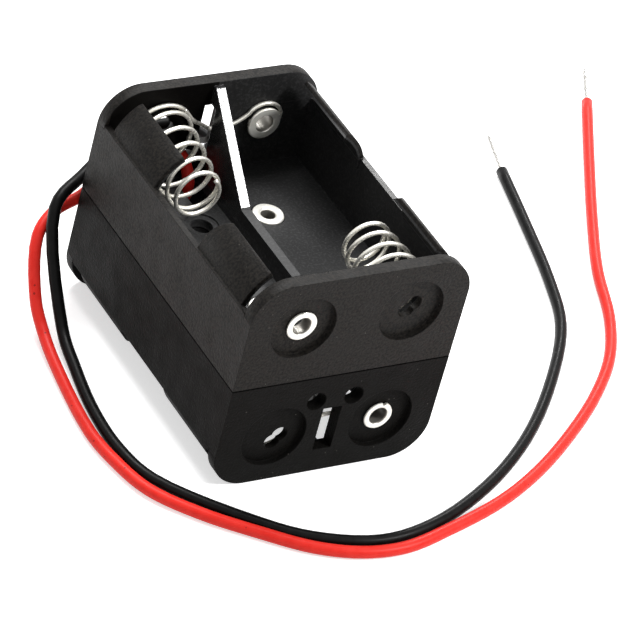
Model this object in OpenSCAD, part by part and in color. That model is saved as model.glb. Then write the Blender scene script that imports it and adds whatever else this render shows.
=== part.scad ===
// Cylindrical cell holder: two moulded trays back to back, four cells in series.
// Millimetres, +Z up, X across, Y along the cells, origin under the middle of the holder.
// The lower tray is the same moulding as the upper one, turned over about the X axis.

/* [Tray] */
// outer width of the holder
body_w = 27.2; // [27.2:0.1:30]
// outer length of the holder
body_l = 36.6; // [36.6:0.1:40]
// height of one tray
tray_h = 13.6; // [13.6:0.1:14]
// end plate thickness
plate_t = 1.6; // [1.4:0.1:1.8]
// radius of the end plates' outer corners
corner_r = 4.6; // [3:0.1:5]
// floor thickness
floor_t = 1.4; // [1.3:0.05:1.45]
// side wall thickness
wall_t = 0.75; // [0.7:0.05:0.8]
// height of the side walls above the parting plane
wall_h = 9.5; // [9:0.1:10]

/* [Cells] */
// cell diameter
cell_d = 12; // [11.8:0.1:12]
// distance between the two cell axes of a tray
cell_pitch = 13.4; // [13.4:0.1:13.6]
// height of a cell axis above the parting plane
cell_z = 7.5; // [7.5:0.05:7.6]

/* [Fingers] */
// start of a finger, measured along Y from the middle
finger_y0 = 5.2; // [5:0.1:6]
// end of a finger, measured along Y from the middle
finger_y1 = 15.3; // [14.5:0.1:15.5]
// finger thickness
finger_t = 0.75; // [0.7:0.05:0.8]
// how far the fingers reach round the cell, in degrees above level
finger_a = 57; // [50:1:60]

/* [Rib] */
// thickness of the middle rib and its gussets
rib_t = 1.2; // [1.1:0.05:1.2]
// height of the low part of the rib above the parting plane
rib_h = 3.85; // [3.5:0.05:4.2]
// half the length of the low part
rib_y = 6; // [5.5:0.1:6.5]
// height of the gussets where they meet the end plates
gusset_h = 13.1; // [12.5:0.1:13.3]

/* [Contacts] */
// depth of the round recesses in the end plates
recess_d = 0.7; // [0.5:0.05:0.8]
// radius of the round recesses
recess_r = 3.95; // [3.7:0.05:4.1]
// eyelet tube diameter
eyelet_d = 2.6; // [2.4:0.05:2.7]
// eyelet bore
eyelet_bore = 2.05; // [1.9:0.05:2.1]
// eyelet flange diameter
flange_d = 3.8; // [3.6:0.05:4]
// diameter of an eyelet's head, inside the bay
head_d = 4.1; // [4:0.05:4.3]
// flange thickness
flange_t = 0.35; // [0.3:0.05:0.4]
// spring wire diameter
wire_d = 0.5; // [0.45:0.05:0.55]
// coil radius at the base
coil_r0 = 4.1; // [3.9:0.1:4.2]
// coil radius at the free end
coil_r1 = 2.5; // [2.4:0.1:2.8]
// number of turns
coil_n = 6; // [5:1:6]
// free length of a spring
spring_l = 10.5; // [9.8:0.1:10.6]

/* [Leads] */
// diameter over the insulation
lead_d = 1.4; // [1.3:0.05:1.4]
// diameter of the bare conductor
core_d = 0.5; // [0.4:0.05:0.6]

/* [View] */
// which piece is built

/* [Hidden] */

eps = 0.01;
seat = 0.04;              // gap kept between two seated pieces
cell_clear = 0.15;        // cell to wall or finger
cx = cell_pitch / 2;      // cell axis, across
in_w = body_w / 2 - wall_t;
in_l = body_l / 2 - plate_t;
web_t = plate_t - recess_d;
finger_ri = cell_d / 2 + cell_clear;
finger_ro = finger_ri + finger_t;
finger_cx = in_w - finger_ri;   // middle of the fingers' curve, which starts at the side wall

// openings in the end plate and floor
slot_w = 2.3;
slot_z0 = 4.7;
slot_z1 = 10.5;
lead_hole_x = 2.35;
lead_hole_z = 3.43;
lead_hole_d = 2.35;
key_d = 1.9;
key_x = 0.38;
key_z = 0.42;
key_near = [0.25, 0];     // keyholes off the middle of their recess, near and far plate
key_far = [0.8, 0.9];
pass_x0 = 0.75;           // floor openings that the wires pass through
pass_x1 = 3.6;
pass_y0 = in_l - 5.9;
pass_y1 = in_l - 0.8;
duct_w = 3;               // channel for the wires, between the trays
duct_h = 0.8;
notch_z0 = 5.2;           // notch for the link at the end of the rib
notch_z1 = 10.8;
notch_y = 1.4;

// rivets
rivet_x = 4.2;
rivet_y = 7.5;
rivet_d = 2.4;
rivet_bore = 1.6;
rivet_flange = 3.7;
rivet_sink = 0.25;
rivet_clear = 0.1;

// colours
plastic = [0.13, 0.13, 0.13];
metal = [0.85, 0.84, 0.8];
red_pvc = [0.85, 0.12, 0.12];
black_pvc = [0.06, 0.06, 0.06];
solder = [0.7, 0.7, 0.72];

// points beside an end plate, given as X, distance in from the plate's inner face and
// height above the parting plane
function near(p) = [for (q = p) [q[0], q[1] - in_l, tray_h + q[2]]];
function far(p) = [for (q = p) [q[0], in_l - q[1], tray_h + q[2]]];

// route of the red lead, from the lower left eyelet out through the far plate to the bared end
red_route = concat(
    far([[-4.2, 1.2, -4], [-3.4, 1.5, -2.9], [-2.7, 1.9, -1.6], [-2.3, 2.1, 0], [-2.2, 1.8, 1.6], [-2.3, 1, 2.8],
        [-2.35, -0.1, 3.4], [-2.35, -2.7, 3.43], [-3, -4.1, 3.1], [-4.6, -4.5, 2.3], [-10, -3.8, -1], [-12.6, -2.7, -2.2],
        [-16.2, -1.9, -3.2]]),
    [[-19, 16.6, 8.8], [-20.5, 11.9, 3.8], [-20.7, 8.6, 1.7], [-21.3, 3.9, 0.9], [-22.5, -7.2, 0.72],
     [-22, -12.2, 0.72], [-20.5, -17.4, 0.72], [-16.8, -22.2, 0.72], [-11.9, -26.6, 0.72], [-6.8, -30.5, 0.72],
     [-2, -32.5, 0.72], [3.2, -33, 0.72], [9.8, -31.5, 0.72],
     [17.8, -28.9, 0.72], [24.8, -25.4, 0.72], [32.4, -20.3, 0.72], [38.8, -15.1, 0.72], [44.1, -9.5, 0.72],
     [48, -3.1, 0.72], [51.3, 5, 0.72], [55.8, 13.6, 0.72], [62.6, 25.6, 0.72], [68.4, 35.6, 0.72]]);
// route of the black lead, from the upper right spring out through the far plate to the bared end
black_route = concat(
    near([[3.5, 1.3, 2.9], [2.7, 2.2, 1.9], [1.8, 3.7, 0.9], [1.2, 5.1, 0.15], [0.85, 6.3, 0]]),
    [[0.75, -8, tray_h], [0.75, 8, tray_h]],
    far([[0.85, 6.3, 0], [1.2, 5.1, 0.15], [1.65, 4.1, 0.9], [2, 2.9, 1.9], [2.25, 1.5, 2.85], [2.35, 0.1, 3.4],
        [2.35, -3.1, 3.43], [0.4, -6.2, 3.3], [-6, -6.1, 2.5], [-13, -3, 0.3]]),
    [[-17.2, 17.2, 12], [-18.5, 8.6, 2.2], [-19.4, 2.9, 1], [-20.5, -4.2, 0.72], [-20.6, -10.7, 0.72], [-19.2, -16, 0.72],
     [-11.5, -24.9, 0.72], [-6.3, -28.9, 0.72], [0.9, -31.3, 0.72], [8.1, -30.4, 0.72], [17.4, -26.3, 0.72],
     [26.3, -20.1, 0.72], [34.8, -11.6, 0.72], [41.4, -2.8, 0.72], [44.4, 5, 0.72], [47.1, 14.9, 0.72],
     [49.7, 25.2, 0.72]]);
// route of the jumper, from the upper left eyelet to the lower right spring
jumper_route = concat(
    near([[-4.2, 1.2, 4], [-3.4, 1.5, 2.9], [-2.5, 2.4, 1.8], [-1.75, 3.8, 0.85], [-1.2, 5.1, 0.15], [-0.85, 6.3, 0]]),
    [[-0.75, -8, tray_h], [-0.75, 8, tray_h]],
    far([[-0.75, 6.2, 0], [-0.65, 4.9, -0.05], [0.3, 3.5, -0.08], [1.5, 2.8, -0.1], [2.2, 2.3, -1], [2.9, 1.8, -2.2],
        [3.5, 1.3, -2.9]]));

// ---------- shared shapes ----------

function unit(v) = v / norm(v);
function tangent(p, i) = i == 0 ? unit(p[1] - p[0])
    : i == len(p) - 1 ? unit(p[i] - p[i - 1])
    : unit(unit(p[i + 1] - p[i]) + unit(p[i] - p[i - 1]));
function start_normal(t) = unit(abs(t[2]) < 0.9 ? cross(t, [0, 0, 1]) : cross(t, [1, 0, 0]));
// normals carried along the path without twist
function normals(p, i = 0, n = undef) = i == len(p) ? []
    : let (t = tangent(p, i), m = n == undef ? start_normal(t) : unit(n - (n * t) * t))
      concat([m], normals(p, i + 1, m));

// tube of diameter d along the points p, with the given number of sides
module tube(p, d, sides = 8) {
    ns = normals(p);
    rings = [for (i = [0:len(p) - 1]) let (t = tangent(p, i), u = ns[i], w = cross(t, u))
        for (k = [0:sides - 1]) p[i] + d / 2 * (cos(k * 360 / sides) * u + sin(k * 360 / sides) * w)];
    last = (len(p) - 1) * sides;
    polyhedron(points = rings, faces = concat(
        [[for (k = [0:sides - 1]) k]],
        [[for (k = [0:sides - 1]) last + sides - 1 - k]],
        [for (i = [0:len(p) - 2], k = [0:sides - 1]) let (a = i * sides + k, b = i * sides + (k + 1) % sides)
            [a, a + sides, b + sides, b]]));
}

// the lower tray's pieces are the upper ones turned over about the X axis
module turned_over() {
    translate([0, 0, tray_h]) rotate([180, 0, 0]) translate([0, 0, -tray_h]) children();
}

// cylinder along Y, from y0 to y1
module y_cyl(x, z, r, y0, y1, fn = 48) {
    translate([x, y1, z]) rotate([90, 0, 0]) cylinder(h = y1 - y0, r = r, $fn = fn);
}

// ---------- tray, modelled from its parting plane up ----------

// outline of an end plate, square at the parting plane and round on top
module plate_outline() {
    translate([-body_w / 2, 0]) square([body_w, tray_h - corner_r]);
    translate([-body_w / 2 + corner_r, 0]) square([body_w - 2 * corner_r, tray_h]);
    for (s = [-1, 1]) translate([s * (body_w / 2 - corner_r), tray_h - corner_r]) circle(r = corner_r, $fn = 64);
}

module end_plate(s) {
    translate([0, s > 0 ? body_l / 2 : -body_l / 2 + plate_t, 0])
        rotate([90, 0, 0]) linear_extrude(plate_t) plate_outline();
}

// one retaining finger: part of a ring round the cell, its free corner next to
// the middle rounded off by round_r
module finger(sx, sy, round_r) {
    intersection() {
        translate([sx * finger_cx, sy > 0 ? finger_y1 : -finger_y0, cell_z]) rotate([90, 0, 0])
            linear_extrude(finger_y1 - finger_y0) difference() {
                circle(r = finger_ro, $fn = 72);
                circle(r = finger_ri, $fn = 72);
                translate([-10, -20]) square([20, 20]);
                mirror([sx > 0 ? 0 : 1, 0])
                    polygon([[0, 0], [20 * cos(finger_a), 20 * sin(finger_a)], [0, 20], [-20, 20], [-20, 0]]);
            }
        translate([sx * 10 - 5, 0, 0]) rotate([90, 0, 90]) linear_extrude(10)
            finger_side(sy, round_r);
    }
}

// side view of a finger, in Y and Z
module finger_side(sy, round_r) {
    top = cell_z + finger_ro * sin(finger_a) + 0.3;
    mirror([sy > 0 ? 0 : 1, 0]) {
        translate([finger_y0, 0]) square([finger_y1 - finger_y0, top - round_r]);
        translate([finger_y0 + round_r, 0]) square([finger_y1 - finger_y0 - round_r - 0.8, top]);
        translate([finger_y0 + round_r, top - round_r]) circle(r = round_r, $fn = 40);
        translate([finger_y1 - 0.8, top - 0.8]) circle(r = 0.8, $fn = 32);
        translate([finger_y1 - 0.8, 0]) square([0.8, top - 0.8]);
    }
}

// middle rib: low in the middle, a gusset up each end plate
module rib() {
    translate([-rib_t / 2, 0, 0]) rotate([90, 0, 90]) linear_extrude(rib_t)
        polygon([[-in_l - eps, floor_t - eps], [-in_l - eps, gusset_h], [-in_l + 0.5, gusset_h], [-rib_y, rib_h],
            [rib_y, rib_h], [in_l - 0.5, gusset_h], [in_l + eps, gusset_h], [in_l + eps, floor_t - eps]]);
    // flare at its foot
    rotate([90, 0, 0]) translate([0, 0, -in_l]) linear_extrude(2 * in_l)
        polygon([[-rib_t / 2 - 0.2, floor_t - eps], [-rib_t / 2, floor_t + 1.2], [rib_t / 2, floor_t + 1.2], [rib_t / 2 + 0.2, floor_t - eps]]);
}

module tray() {
    difference() {
        union() {
            for (s = [-1, 1]) end_plate(s);
            // floor
            translate([-body_w / 2, -in_l - eps, 0]) cube([body_w, 2 * in_l + 2 * eps, floor_t]);
            // side walls
            for (s = [-1, 1]) translate([s > 0 ? in_w : -body_w / 2, -in_l - eps, 0])
                cube([wall_t, 2 * in_l + 2 * eps, wall_h]);
            for (sx = [-1, 1]) {
                finger(sx, -1, 2.6);
                finger(sx, 1, 0.9);
            }
            rib();
        }
        // round recesses, eyelet holes and keyholes
        for (sy = [-1, 1], sx = [-1, 1]) {
            y_cyl(sx * cx, cell_z, recess_r, sy > 0 ? body_l / 2 - recess_d : -body_l / 2 - 1,
                sy > 0 ? body_l / 2 + 1 : -body_l / 2 + recess_d, 72);
            if (sx * sy > 0)
                y_cyl(sx * cx, cell_z, eyelet_d / 2 + seat, sy > 0 ? in_l - 1 : -body_l / 2 - 1,
                    sy > 0 ? body_l / 2 + 1 : -in_l + 1, 40);
            else for (k = [-1, 1]) {
                off = sy > 0 ? key_far : key_near;
                y_cyl(sx * cx + off[0] + k * key_x, cell_z + off[1] - sy * k * key_z, key_d / 2,
                    sy > 0 ? in_l - 1 : -body_l / 2 - 1, sy > 0 ? body_l / 2 + 1 : -in_l + 1, 32);
            }
        }
        // slot and lead holes in the far plate
        translate([-slot_w / 2, in_l, slot_z0]) cube([slot_w, plate_t + 1, slot_z1 - slot_z0]);
        for (sx = [-1, 1]) y_cyl(sx * lead_hole_x, lead_hole_z, lead_hole_d / 2, in_l - 0.4, body_l / 2 + 1, 40);
        // notch for the link
        translate([-rib_t, in_l - notch_y, notch_z0]) cube([2 * rib_t, notch_y + eps, notch_z1 - notch_z0]);
        // openings in the floor for the wires, and the channel between the trays
        for (sx = [-1, 1], sy = [-1, 1])
            translate([sx > 0 ? pass_x0 : -pass_x1, sy > 0 ? pass_y0 : -pass_y1, -1])
                cube([pass_x1 - pass_x0, pass_y1 - pass_y0, floor_t + 2]);
        translate([-duct_w / 2, -pass_y1, -1]) cube([duct_w, 2 * pass_y1, 1 + duct_h]);
        // rivet holes, sunk on the bay side
        for (sx = [-1, 1], sy = [-1, 1]) translate([sx * rivet_x, sy * rivet_y, -1]) {
            cylinder(h = 4, d = rivet_d + rivet_clear, $fn = 36);
            translate([0, 0, 1 + floor_t - rivet_sink]) cylinder(h = 2, d = rivet_flange + 0.2, $fn = 48);
        }
    }
}

module upper_tray() { color(plastic) translate([0, 0, tray_h]) tray(); }
module lower_tray() { color(plastic) turned_over() translate([0, 0, tray_h]) tray(); }

// ---------- springs ----------

function taper(t) = coil_r0 + (coil_r1 - coil_r0) * t / coil_n;
// axial position along the spring: flat base turn, even pitch, nearly closed last turn
function rise(t) = let (l = spring_l - wire_d, a = 0.72, b = 0.62, p = (l - a - b) / (coil_n - 2))
    t < 1 ? a * t : t > coil_n - 1 ? l - b * (coil_n - t) : a + p * (t - 1);
// lean: how far the free end stands off the axis, in X and Z
function coil(a0, dir, lean) = [for (i = [0:18 * coil_n]) let (t = i / 18, a = a0 + dir * 360 * t, f = rise(t) / spring_l)
    [taper(t) * cos(a) + lean[0] * f, -rise(t) - wire_d / 2 - seat, taper(t) * sin(a) + lean[1] * f]];

// spring on a far plate, in the upper tray's frame; the base turn starts at angle a0
module spring(sx, a0, dir, lean) {
    translate([sx * cx, in_l, tray_h + cell_z]) tube(coil(a0, dir, lean), wire_d, 6);
}

link_a = 48;      // angle at which the link leaves the base turn
module upper_left_spring() { color(metal) spring(-1, link_a, 1, [0.35, -1.15]); }
module upper_right_spring() { color(metal) mirror([0, 1, 0]) spring(1, 19, 1, [0.6, 0.43]); }
module lower_left_spring() { color(metal) turned_over() spring(-1, link_a, 1, [0.3, 0.2]); }
module lower_right_spring() { color(metal) turned_over() mirror([0, 1, 0]) spring(1, 30, 1, [0.2, -0.3]); }

// ---------- links: the spring's own wire, led across to the eyelet ----------

loop_r0 = 2.4;            // radius of the loop where the link comes in
loop_r = eyelet_d / 2 + wire_d / 2 + seat;
link_y = in_l - wire_d / 2 - seat;
link_gap = 0.1;
function loop_at(a) = a > 30 ? loop_r0 : a < -60 ? loop_r : loop_r + (loop_r0 - loop_r) * (a + 60) / 90;
function link_points() = concat(
    [[-cx + coil_r0 * cos(link_a) + link_gap * sin(link_a), link_y, cell_z + coil_r0 * sin(link_a) - link_gap * cos(link_a)],
     [-2.5, link_y, cell_z + 1.4], [-1.2, link_y, cell_z + 0.6], [0, link_y, cell_z - 0.1], [1.5, link_y, cell_z - 0.2],
     [3.1, link_y, cell_z + 0.2], [4, link_y, cell_z + 0.7]],
    [for (a = [150:-18:-192]) [cx + loop_at(a) * cos(a), link_y, cell_z + loop_at(a) * sin(a)]]);
module link() { translate([0, 0, tray_h]) tube(link_points(), wire_d, 6); }
module upper_link() { color(metal) link(); }
module lower_link() { color(metal) turned_over() link(); }

// ---------- eyelets ----------

// eyelet through an end plate at the far end, its inner flange standing off by stand
module eyelet(sx, stand) {
    grip = web_t + stand;
    translate([sx * cx, body_l / 2 - recess_d, tray_h + cell_z]) rotate([-90, 0, 0]) rotate_extrude($fn = 40) {
        // tube
        translate([eyelet_bore / 2, -grip - seat - flange_t]) square([(eyelet_d - eyelet_bore) / 2, grip + 2 * seat + 2 * flange_t]);
        // outer and inner flange, with rolled rims
        for (k = [0, 1]) mirror([0, k]) translate([0, k == 0 ? seat : grip + seat]) {
            d = k == 0 ? flange_d : head_d;
            translate([eyelet_bore / 2 + 0.2, 0]) square([(d - eyelet_bore) / 2 - 0.2 - flange_t / 2, flange_t]);
            translate([d / 2 - flange_t / 2, flange_t / 2]) circle(d = flange_t, $fn = 24);
        }
    }
}
module upper_left_eyelet() { color(metal) mirror([0, 1, 0]) eyelet(-1, 0); }
module upper_right_eyelet() { color(metal) eyelet(1, wire_d + 2 * seat); }
module lower_left_eyelet() { color(metal) turned_over() mirror([0, 1, 0]) eyelet(-1, 0); }
module lower_right_eyelet() { color(metal) turned_over() eyelet(1, wire_d + 2 * seat); }

// ---------- rivets that hold the trays together ----------

module rivet(sx, sy) {
    grip = floor_t - rivet_sink;
    translate([sx * rivet_x, sy * rivet_y, tray_h]) rotate_extrude($fn = 40) {
        translate([rivet_bore / 2, -grip - seat - flange_t]) square([(rivet_d - rivet_bore) / 2, 2 * (grip + seat + flange_t)]);
        for (k = [0, 1]) mirror([0, k]) translate([0, grip + seat]) {
            translate([rivet_bore / 2 + 0.2, 0]) square([(rivet_flange - rivet_bore) / 2 - 0.2 - flange_t / 2, flange_t]);
            translate([rivet_flange / 2 - flange_t / 2, flange_t / 2]) circle(d = flange_t, $fn = 24);
        }
    }
}
module right_rivet() { color(metal) rivet(1, 1); }
module left_rivet() { color(metal) rivet(-1, -1); }

// ---------- leads and jumper ----------

module red_lead() { color(red_pvc) tube(red_route, lead_d); }
module black_lead() { color(black_pvc) tube(black_route, lead_d); }
module jumper() { color(black_pvc) tube(jumper_route, lead_d); }

red_end = red_route[len(red_route) - 1];
black_end = black_route[len(black_route) - 1];
module red_tip() { color(metal) tube([red_end + [0.02, 0.035, 0], red_end + [1.8, 3.2, 0], red_end + [3.4, 6.2, 0]], core_d); }
module black_tip() { color(metal) tube([black_end + [0.012, 0.038, 0], black_end + [1.1, 3.5, 0], black_end + [2.1, 6.8, 0]], core_d); }

// solder joint: a drop beside the contact, drawn out round the bared end of the wire
bead_r = 0.5;
module joint_bead(at, wire_end) {
    way = wire_end - at;
    reach = norm(way) - seat;
    translate(at) rotate([0, acos(way[2] / norm(way)), atan2(way[1], way[0])]) rotate_extrude($fn = 24)
        polygon(concat([for (a = [-90:15:60]) [a == -90 ? 0 : bead_r * cos(a), bead_r * sin(a)]],
            [[core_d / 2, reach], [0, reach]]));
}
// beside the head of an eyelet
head_off = head_d / 2 + bead_r + 0.08;
head_bead = [-cx + 0.6 * head_off, -in_l + 0.57, tray_h + cell_z - 0.8 * head_off];
// beside the base turn of a spring
coil_off = coil_r0 + wire_d / 2 + 0.43;
coil_bead = [cx - 0.515 * coil_off, -in_l + 0.75, tray_h + cell_z - 0.858 * coil_off];
function over(p) = [p[0], -p[1], 2 * tray_h - p[2]];
module red_joint() { color(solder) joint_bead(over(head_bead), red_route[0]); }
module black_joint() { color(solder) joint_bead(coil_bead, black_route[0]); }
module jumper_near_joint() { color(solder) joint_bead(head_bead, jumper_route[0]); }
module jumper_far_joint() { color(solder) joint_bead(over(coil_bead), jumper_route[len(jumper_route) - 1]); }

upper_tray();
lower_tray();
upper_left_spring();
upper_right_spring();
lower_left_spring();
lower_right_spring();
upper_link();
lower_link();
upper_left_eyelet();
upper_right_eyelet();
lower_left_eyelet();
lower_right_eyelet();
right_rivet();
left_rivet();
red_lead();
red_tip();
red_joint();
black_lead();
black_tip();
black_joint();
jumper();
jumper_near_joint();
jumper_far_joint();
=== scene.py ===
"""Looks of a holder for four small cylindrical cells.

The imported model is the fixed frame. The two trays keep their CAD solids and get
their finish here. Springs, links, eyelets, rivets, leads and bared ends are
made again as finer meshes that stand for the CAD nodes.
"""

from __future__ import annotations

import logging
import math
import random
from dataclasses import dataclass
from enum import Enum
from typing import Any, Callable, Sequence

import bmesh
import bpy
import numpy as np
from mathutils import Matrix, Vector

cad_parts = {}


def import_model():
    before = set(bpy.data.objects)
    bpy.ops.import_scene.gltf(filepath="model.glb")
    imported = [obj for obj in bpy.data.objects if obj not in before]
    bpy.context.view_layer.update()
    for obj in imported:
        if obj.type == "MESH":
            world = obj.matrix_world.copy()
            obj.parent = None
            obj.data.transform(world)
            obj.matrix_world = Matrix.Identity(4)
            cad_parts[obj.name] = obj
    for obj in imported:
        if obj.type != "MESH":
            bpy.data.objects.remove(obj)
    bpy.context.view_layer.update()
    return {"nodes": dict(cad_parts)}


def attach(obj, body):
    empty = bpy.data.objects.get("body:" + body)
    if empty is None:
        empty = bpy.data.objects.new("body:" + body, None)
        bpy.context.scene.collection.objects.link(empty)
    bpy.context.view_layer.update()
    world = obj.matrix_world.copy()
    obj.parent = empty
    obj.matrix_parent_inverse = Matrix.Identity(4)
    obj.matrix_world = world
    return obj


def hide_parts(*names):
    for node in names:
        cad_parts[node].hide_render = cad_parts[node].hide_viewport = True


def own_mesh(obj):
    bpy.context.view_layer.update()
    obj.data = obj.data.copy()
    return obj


LOG = logging.getLogger("cell_holder")
MM = 0.001
HOLDER = "holder"
FINE_BUMP = 0.01
FLOOR_Z = 0.72
SHARP_DEG = 50

Point = Sequence[float]
Corners = list[tuple[float, float]]


# ---- sizes


@dataclass(frozen=True)
class HolderSizes:
    """Sizes of the holder in millimetres, as in the part's source."""

    tray_h: float = 13.6
    body_l: float = 36.6
    body_w: float = 27.2
    plate_t: float = 1.6
    recess_d: float = 0.7
    floor_t: float = 1.4
    cell_x: float = 6.7
    cell_z: float = 7.5
    rivet_x: float = 4.2
    rivet_y: float = 7.5
    seat: float = 0.04
    wire_d: float = 0.5
    lead_d: float = 1.4
    core_d: float = 0.5

    @property
    def inner_y(self) -> float:
        """Distance from the middle to the inner face of an end plate."""
        return self.body_l / 2 - self.plate_t

    @property
    def axis_z(self) -> float:
        """Height of the upper cells' axes."""
        return self.tray_h + self.cell_z


SIZES = HolderSizes()


def turned_over(p: Point) -> np.ndarray:
    """The point of the lower tray that answers to a point of the upper one."""
    return np.array([p[0], -p[1], 2 * SIZES.tray_h - p[2]], float)


def mirrored(p: Point) -> np.ndarray:
    """The point mirrored from the far end plate to the near one."""
    return np.array([p[0], -p[1], p[2]], float)


# ---- shader tools


class Sheet:
    """A node tree with short calls to add and join nodes."""

    COLOUR_A, COLOUR_B, COLOUR_OUT = 6, 7, 2

    def __init__(self, tree: bpy.types.NodeTree) -> None:
        """Keeps the tree and empties it."""
        self.tree = tree
        tree.nodes.clear()

    def add(self, kind: str, **values: Any) -> bpy.types.Node:
        """Adds a node.

        Args:
            kind: the node's type without its ShaderNode prefix.
            values: attributes of the node, or inputs by their name with
                spaces written as underscores.

        Returns:
            The new node.
        """
        node = self.tree.nodes.new(
            kind if kind.startswith("Node") else "ShaderNode" + kind
        )
        for name, value in values.items():
            if hasattr(node, name):
                setattr(node, name, value)
                continue
            target = node.inputs[name.replace("_", " ")]
            if isinstance(value, bpy.types.NodeSocket):
                self.tree.links.new(value, target)
            else:
                target.default_value = value
        return node

    def math(self, operation: str, *values: Any, clamp: bool = False) -> Any:
        """Adds a Math node and returns its output socket."""
        node = self.tree.nodes.new("ShaderNodeMath")
        node.operation = operation
        node.use_clamp = clamp
        for i, value in enumerate(values):
            if isinstance(value, bpy.types.NodeSocket):
                self.tree.links.new(value, node.inputs[i])
            else:
                node.inputs[i].default_value = value
        return node.outputs[0]

    def link(self, source: Any, target: Any) -> None:
        """Joins an output socket to an input socket."""
        self.tree.links.new(source, target)

    def blend(self, factor: Any, a: Any, b: Any) -> Any:
        """Adds a colour Mix node.

        Args:
            factor: share of b, a socket.
            a: colour or socket at factor 0.
            b: colour or socket at factor 1.

        Returns:
            The mixed colour's socket.
        """
        node = self.tree.nodes.new("ShaderNodeMix")
        node.data_type = "RGBA"
        self.link(factor, node.inputs["Factor"])
        for i, value in ((self.COLOUR_A, a), (self.COLOUR_B, b)):
            if isinstance(value, bpy.types.NodeSocket):
                self.link(value, node.inputs[i])
            else:
                node.inputs[i].default_value = value
        return node.outputs[self.COLOUR_OUT]

    def coordinates(self) -> list[Any]:
        """Adds the object's coordinates and returns the sockets of X, Y and Z."""
        split = self.add("SeparateXYZ", Vector=self.add("TexCoord").outputs["Object"])
        return list(split.outputs)[:3]

    def noise(self, size_mm: Any, **values: float) -> Any:
        """Adds a noise over the object's coordinates and returns its socket."""
        place = self.add("TexCoord").outputs["Object"]
        scale = self.math("DIVIDE", 1000.0, size_mm)
        return self.add("TexNoise", Vector=place, Scale=scale, **values).outputs["Fac"]

    def most(self, first: Any, *others: Any) -> Any:
        """The largest of several values, so the places that any mask covers."""
        for value in others:
            first = self.math("MAXIMUM", first, value)
        return first

    def product(self, first: Any, *others: Any) -> Any:
        """The product of several values, so the places that all masks cover."""
        for value in others:
            first = self.math("MULTIPLY", first, value)
        return first

    def above(self, value: Any, limit: float) -> Any:
        """Mask of the places where a value is over a limit in millimetres."""
        return self.math("GREATER_THAN", value, limit * MM)

    def below(self, value: Any, limit: float) -> Any:
        """Mask of the places where a value is under a limit in millimetres."""
        return self.math("LESS_THAN", value, limit * MM)

    def circle(self, a: Any, b: Any, middle: tuple[float, float], radius: float) -> Any:
        """Mask of the inside of a circle.

        Args:
            a: socket of the first coordinate.
            b: socket of the second coordinate.
            middle: the circle's middle, in millimetres.
            radius: its radius, in millimetres.

        Returns:
            The mask's socket.
        """
        squares = []
        for value, at in zip((a, b), middle):
            off = self.math("SUBTRACT", value, at * MM)
            squares.append(self.math("MULTIPLY", off, off))
        return self.math("LESS_THAN", self.math("ADD", *squares), (radius * MM) ** 2)

    def span(self, value: Any, low: float, high: float, to_low: float, to_high: float) -> Any:
        """Maps a value from one range to another, clamped, and returns the socket."""
        node = self.tree.nodes.new("ShaderNodeMapRange")
        self.link(value, node.inputs["Value"])
        for name, number in (
            ("From Min", low),
            ("From Max", high),
            ("To Min", to_low),
            ("To Max", to_high),
        ):
            node.inputs[name].default_value = number
        return node.outputs["Result"]


def new_group(name: str, inputs: dict[str, float], outputs: Sequence[str]) -> tuple[Any, Any, Any]:
    """Makes an empty shader node group.

    Args:
        name: the group's name.
        inputs: float inputs with their usual values.
        outputs: names of its float outputs.

    Returns:
        Its sheet, its input node and its output node.
    """
    tree = bpy.data.node_groups.new(name, "ShaderNodeTree")
    kind = "NodeSocketFloat"
    for label, value in inputs.items():
        socket = tree.interface.new_socket(name=label, in_out="INPUT", socket_type=kind)
        socket.default_value = value
    for label in outputs:
        tree.interface.new_socket(name=label, in_out="OUTPUT", socket_type=kind)
    sheet = Sheet(tree)
    return sheet, sheet.add("NodeGroupInput"), sheet.add("NodeGroupOutput")


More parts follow.
